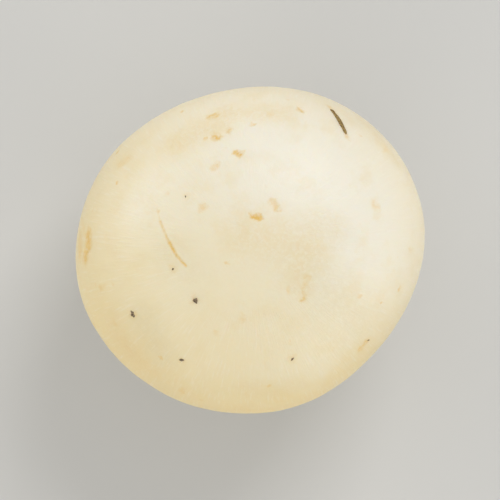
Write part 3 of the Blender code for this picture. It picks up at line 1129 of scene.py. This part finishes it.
def broad_colours(tree, coords, height, forward):
    """Ivory to cream and honey as painted shade, straw sides, amber painted shade in front and milk where
    it rolls under.
    """
    patch_size, patch_rise = MOTTLE
    mottle = combine(tree, "MULTIPLY", cloud(tree, coords, patch_size), patch_rise)
    lean = {0: coords, 1: SHADED_SIDE}
    shaded = node(tree, "ShaderNodeVectorMath", lean, operation="DOT_PRODUCT").outputs["Value"]
    shaded = combine(tree, "ADD", shaded, mottle)
    # Cream and then honey, laid on towards the side away from the light, are painted shade.
    colour = over(tree, between(tree, shaded, *PAINTED_SHADE_CREAM_RISE), IVORY, CREAM)
    colour = over(tree, between(tree, shaded, *PAINTED_SHADE_HONEY_RISE), colour, HONEY_PAINTED_SHADE)
    sides = between(tree, height, STRAW_TOP, widest_height, 0.0, STRAW_SHARE)
    colour = over(tree, sides, colour, STRAW)
    lump_size, lump_rise = UNEVEN_HEIGHT
    uneven = combine(tree, "MULTIPLY", cloud(tree, coords, lump_size), lump_rise)
    uneven = combine(tree, "ADD", combine(tree, "SUBTRACT", height, lump_rise / 2.0), uneven)
    # Amber low on the front side is painted warm shade.
    shade_low_side = between(tree, uneven, *PAINTED_SHADE_AMBER_HEIGHTS)
    shade_in_front = between(tree, forward, *PAINTED_SHADE_AMBER_FRONT)
    colour = over(tree, combine(tree, "MULTIPLY", shade_low_side, shade_in_front), colour, AMBER_PAINTED_SHADE)
    return over(tree, between(tree, uneven, *MILKY_HEIGHTS), colour, MILK)


def cap_skin():
    """Ivory skin with painted shade and highlights, a yellowed margin, silky grain with painted sheen,
    freckles, bruises and a scratch.
    """
    material, tree, shader, coords = flesh("cap_skin_finish", *CAP_ROUGHNESS)
    shader.inputs["Sheen Weight"].default_value = CAP_SHEEN
    shader.inputs["Sheen Tint"].default_value = CAP_SHEEN_TINT
    bent = warped(tree, coords)
    _, forward, height = node(tree, "ShaderNodeSeparateXYZ", {0: coords}).outputs
    silk = grain(tree, coords, cap_radius, *SILK)
    from_crown = {0: coords, 1: Vector((0.0, 0.0, cap_high.z))}
    radius = node(tree, "ShaderNodeVectorMath", from_crown, operation="DISTANCE").outputs["Value"]
    silk = combine(tree, "MULTIPLY", silk, between(tree, radius, *FIBRE_FREE_CROWN))

    colour = broad_colours(tree, coords, height, forward)
    # The pale streaks along the silky fibres are a painted sheen.
    colour = over(tree, between(tree, silk, *PAINTED_SILK_SHEEN), colour, PALE_SILK_SHEEN_HIGHLIGHT)
    patch = between(tree, cloud(tree, bent, PATCH_SIZE), *PATCHES)
    colour = over(tree, patch, colour, STRAW)
    streaked = combine(tree, "MULTIPLY", streaks(tree, bent, height), STREAK_STRENGTH)
    colour = over(tree, streaked, colour, TAN)
    freckled = combine(tree, "MULTIPLY", freckles(tree, bent), FRECKLE_STRENGTH)
    colour = over(tree, freckled, colour, TAN)
    # Clearer patches are painted highlight, duller patches are painted shade, and some of the bruises are
    # painted shade too.
    colour = over(tree, marks(tree, bent, PAINTED_HIGHLIGHT_PATCHES), colour, PALE_SILK_SHEEN_HIGHLIGHT)
    colour = over(tree, marks(tree, bent, PAINTED_SHADE_PATCHES), colour, OLIVE_PAINTED_SHADE)
    colour = over(tree, marks(tree, bent, BRUISES_AND_PAINTED_SHADE), colour, BUFF)
    halos = [(place, place, size + CRUMB_HALO[0], CRUMB_HALO[1]) for place, size in CAP_CRUMBS.items()]
    colour = over(tree, marks(tree, bent, halos), colour, TAN)
    spots = marks(tree, bent, TAN_SPOTS)
    colour = over(tree, spots, colour, TAN)
    scratch = marks(tree, coords, SCRATCH)
    colour = over(tree, scratch, colour, TAN)
    tree.links.new(colour, shader.inputs["Base Color"])

    normal = bumped(tree, silk, SILK_BUMP)
    normal = bumped(tree, cloud(tree, coords, FINE_BUMP[0]), FINE_BUMP[1], normal)
    sunk = combine(tree, "SUBTRACT", 1.0, combine(tree, "MAXIMUM", scratch, spots))
    normal = bumped(tree, sunk, SUNK_BUMP, normal)
    tree.links.new(normal, shader.inputs["Normal"])
    return material


domed_cap.data.materials.append(cap_skin())
print("cap skin mixed from", len(domed_cap.data.materials[0].node_tree.nodes), "nodes")

# %% [markdown]
# ## The veil's threads
#
# The veil is whiter and duller than the cap, because its threads scatter the light. Its strands are
# shaded in between, it takes the cap's cream where it joins the cap, and it has a few faint stains. The
# loose threads get a plainer material in the same two whites, as each is too thin to show a grain.

# %% Mix the veil and its threads
COTTON = (0.890, 0.840, 0.710, 1.0)
COTTON_SHADE = (0.800, 0.710, 0.520, 1.0)
VEIL_ROUGHNESS = (0.78, 0.90)
VEIL_SHEEN = 0.25
VEIL_STRANDS = (0.40 * MM, 3.0 * MM)
STRAND_SHADE = (0.62, 0.36, 0.0, 0.75)
STRAND_BUMP = 0.06 * MM
WOOL_BUMP = (0.30 * MM, 0.05 * MM)
JOIN_HEIGHTS = (veil_high.z - 2.2 * MM, veil_high.z, 0.0, 0.8)
STAIN_SIZE = 3.0 * MM
STAINS = (0.56, 0.72, 0.0, 0.35)
THREAD_ROUGHNESS = 0.9
THREAD_PATCH = 0.8 * MM


def veil_cotton():
    """White woolly threads, shaded between the strands."""
    material, tree, shader, coords = flesh("veil_cotton", *VEIL_ROUGHNESS)
    shader.inputs["Sheen Weight"].default_value = VEIL_SHEEN
    strands = grain(tree, coords, veil_radius, *VEIL_STRANDS)
    wool = cloud(tree, coords, WOOL_BUMP[0])
    colour = over(tree, between(tree, strands, *STRAND_SHADE), COTTON, COTTON_SHADE)
    height = node(tree, "ShaderNodeSeparateXYZ", {0: coords}).outputs[2]
    colour = over(tree, between(tree, height, *JOIN_HEIGHTS), colour, CREAM)
    stain = between(tree, cloud(tree, coords, STAIN_SIZE), *STAINS)
    colour = over(tree, stain, colour, STRAW)
    tree.links.new(colour, shader.inputs["Base Color"])
    normal = bumped(tree, strands, STRAND_BUMP)
    normal = bumped(tree, wool, WOOL_BUMP[1], normal)
    tree.links.new(normal, shader.inputs["Normal"])
    return material


def thread_cotton():
    """Loose threads: the veil's colours, plain and dull."""
    material = plain_material("thread_cotton", COTTON, THREAD_ROUGHNESS)
    tree = material.node_tree
    coords = node(tree, "ShaderNodeTexCoord").outputs["Object"]
    shade = between(tree, cloud(tree, coords, THREAD_PATCH), 0.35, 0.70)
    colour = over(tree, shade, COTTON, COTTON_SHADE)
    tree.links.new(colour, tree.nodes["Principled BSDF"].inputs["Base Color"])
    return material


pleated_veil.data.materials.append(veil_cotton())
veil_threads.data.materials.append(thread_cotton())
print("veil mixed from", len(pleated_veil.data.materials[0].node_tree.nodes), "nodes")

# %% [markdown]
# ## The stem's flesh
#
# The stem is white under the veil and turns tan and dirty towards the cut. Its fibres show as fine lines
# of shade. The cut itself is browned by air and the knife, most of all at its rim and in the pith, and
# shows the blade's drag lines. Both are one material: the height picks the side or the cut.

# %% Mix the stem
FLESH_WHITE = (0.860, 0.805, 0.680, 1.0)
FLESH_SHADE = (0.790, 0.700, 0.520, 1.0)
CUT_FLESH = (0.800, 0.700, 0.500, 1.0)
CUT_TAN = (0.680, 0.520, 0.290, 1.0)
BROWNED = (0.480, 0.300, 0.130, 1.0)
PEAT_STAIN = (0.200, 0.130, 0.070, 1.0)
STEM_ROUGHNESS = (0.62, 0.80)
STEM_SHEEN = 0.18
STEM_GRAIN = (0.34 * MM, 5.0 * MM)
GRAIN_SHADE = (0.60, 0.38, 0.0, 0.7)
GRAIN_BUMP = 0.09 * MM
STEM_WOOL = (0.5 * MM, 0.06 * MM)
STEM_PATCH = 3.4 * MM
STEM_BRUISES = (0.55, 0.72, 0.0, 0.45)
RAGGED = (1.9 * MM, 7.0 * MM)
TANNED_BELOW = (4.0 * MM, -3.0 * MM, 0.0, 0.60)
BROWNED_BELOW = (-1.8 * MM, -4.2 * MM, 0.0, 0.80)
DIRTY_BELOW = (0.6 * MM, -3.0 * MM)
DIRT_SPECK = 0.7 * MM
DIRT_SPECKS = (0.60, 0.70, 0.0, 0.8)
CUT_BLOTCH = 1.7 * MM
KNIFE_SHADE = (0.48, 0.70, 0.0, 0.24)
CUT_WAVES = (1.2 * MM, 1.6 * MM)
BROWN_RIM = (stem_radius * 0.84, stem_radius * 1.10, 0.0, 0.75)
BROWN_PITH = (PITH_RADIUS * 1.6, PITH_RADIUS * 0.9, 0.0, 0.35)
CUT_EDGE = 2.4


def stem_side(tree, coords, height, fine):
    """White fibres that turn tan and dirty towards the foot."""
    colour = over(tree, between(tree, fine, *GRAIN_SHADE), FLESH_WHITE, FLESH_SHADE)
    bruise = between(tree, cloud(tree, coords, STEM_PATCH), *STEM_BRUISES)
    colour = over(tree, bruise, colour, STRAW)
    ragged = combine(tree, "MULTIPLY", cloud(tree, coords, RAGGED[0]), RAGGED[1])
    low = combine(tree, "SUBTRACT", height, ragged)
    colour = over(tree, between(tree, low, *TANNED_BELOW), colour, STRAW)
    colour = over(tree, between(tree, low, *BROWNED_BELOW), colour, BROWNED)
    specks = between(tree, cloud(tree, coords, DIRT_SPECK, 4.0), *DIRT_SPECKS)
    near_foot = between(tree, low, *DIRTY_BELOW)
    return over(tree, combine(tree, "MULTIPLY", specks, near_foot), colour, PEAT_STAIN)


def cut_end(tree, coords):
    """Cut flesh: tan blotches, browner at the rim and in the pith, with the knife's lines."""
    blotches = between(tree, cloud(tree, coords, CUT_BLOTCH), 0.40, 0.66)
    colour = over(tree, blotches, CUT_FLESH, CUT_TAN)
    inputs = {
        "Vector": coords,
        "Rotation": (0.0, 0.0, KNIFE_TURN),
        "Scale": (1.0 / KNIFE_LINE[0], 1.0 / KNIFE_LINE[1], 1.0 / KNIFE_LINE[1]),
    }
    drag = node(tree, "ShaderNodeMapping", inputs).outputs[0]
    inputs = {"Vector": drag, "Scale": 1.0, "Detail": 2.0}
    lines = node(tree, "ShaderNodeTexNoise", inputs).outputs["Fac"]
    colour = over(tree, between(tree, lines, *KNIFE_SHADE), colour, BROWNED)
    from_middle = {0: coords, 1: foot}
    radius = node(tree, "ShaderNodeVectorMath", from_middle, operation="DISTANCE").outputs["Value"]
    wavy = combine(tree, "MULTIPLY", cloud(tree, coords, CUT_WAVES[0]), CUT_WAVES[1])
    radius = combine(tree, "ADD", radius, wavy)
    colour = over(tree, between(tree, radius, *BROWN_RIM), colour, BROWNED)
    return over(tree, between(tree, radius, *BROWN_PITH), colour, BROWNED)


def stem_fibre():
    """The stem's flesh, with a cut end."""
    material, tree, shader, coords = flesh("stem_fibre", *STEM_ROUGHNESS)
    shader.inputs["Sheen Weight"].default_value = STEM_SHEEN
    height = node(tree, "ShaderNodeSeparateXYZ", {0: coords}).outputs[2]
    fine = grain(tree, coords, stem_radius, *STEM_GRAIN)
    wool = cloud(tree, coords, STEM_WOOL[0])
    side = stem_side(tree, coords, height, fine)
    at_cut = between(tree, height, CUT_HEIGHT * CUT_EDGE, CUT_HEIGHT)
    colour = over(tree, at_cut, side, cut_end(tree, coords))
    tree.links.new(colour, shader.inputs["Base Color"])
    normal = bumped(tree, fine, GRAIN_BUMP)
    normal = bumped(tree, wool, STEM_WOOL[1], normal)
    tree.links.new(normal, shader.inputs["Normal"])
    return material


fibrous_stem.data.materials.append(stem_fibre())
print("stem mixed from", len(fibrous_stem.data.materials[0].node_tree.nodes), "nodes")

# %% [markdown]
# ## Peat and straw
#
# Both are dull plant matter, so one recipe serves them, with two colours for each. The mix is not black:
# in daylight, dry peat is a mid brown with dark grains. A fine noise picks the shade of each grain and
# also roughens the surface.

# %% Mix the peat and the straw
PEAT_DARK = (0.085, 0.062, 0.040, 1.0)
PEAT_LIGHT = (0.320, 0.240, 0.150, 1.0)
STRAW_DARK = (0.150, 0.095, 0.030, 1.0)
STRAW_LIGHT = (0.500, 0.350, 0.125, 1.0)
DRY_ROUGHNESS = 0.95
PEAT_GRAIN = (0.15 * MM, 0.05 * MM)


def compost(name, dark, light):
    """Dull, crumbly plant matter between a dark and a light colour."""
    material = plain_material(name, dark, DRY_ROUGHNESS)
    tree = material.node_tree
    shader = tree.nodes["Principled BSDF"]
    coords = node(tree, "ShaderNodeTexCoord").outputs["Object"]
    crumbly = cloud(tree, coords, PEAT_GRAIN[0])
    colour = over(tree, between(tree, crumbly, 0.35, 0.70), dark, light)
    tree.links.new(colour, shader.inputs["Base Color"])
    tree.links.new(bumped(tree, crumbly, PEAT_GRAIN[1]), shader.inputs["Normal"])
    return material


peat_crumbs.data.materials.append(compost("peat", PEAT_DARK, PEAT_LIGHT))
straw_sliver.data.materials.append(compost("straw", STRAW_DARK, STRAW_LIGHT))
print("peat and straw mixed")

# %% [markdown]
# ## Hand the pieces over
#
# Nothing on a mushroom moves, so every piece rides on the one body. The three carved pieces stand for the
# three solids, which are hidden.

# %% Ride and replace
BODY = "root"
STANDS_FOR = {
    domed_cap: ("cap", "cap_skin"),
    pleated_veil: ("veil", "veil_skin"),
    fibrous_stem: ("stem", "stem_flesh"),
}
for piece, (solid, slot) in STANDS_FOR.items():
    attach(piece, BODY)
    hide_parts(solid)
for piece in (veil_threads, peat_crumbs, straw_sliver):
    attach(piece, BODY)
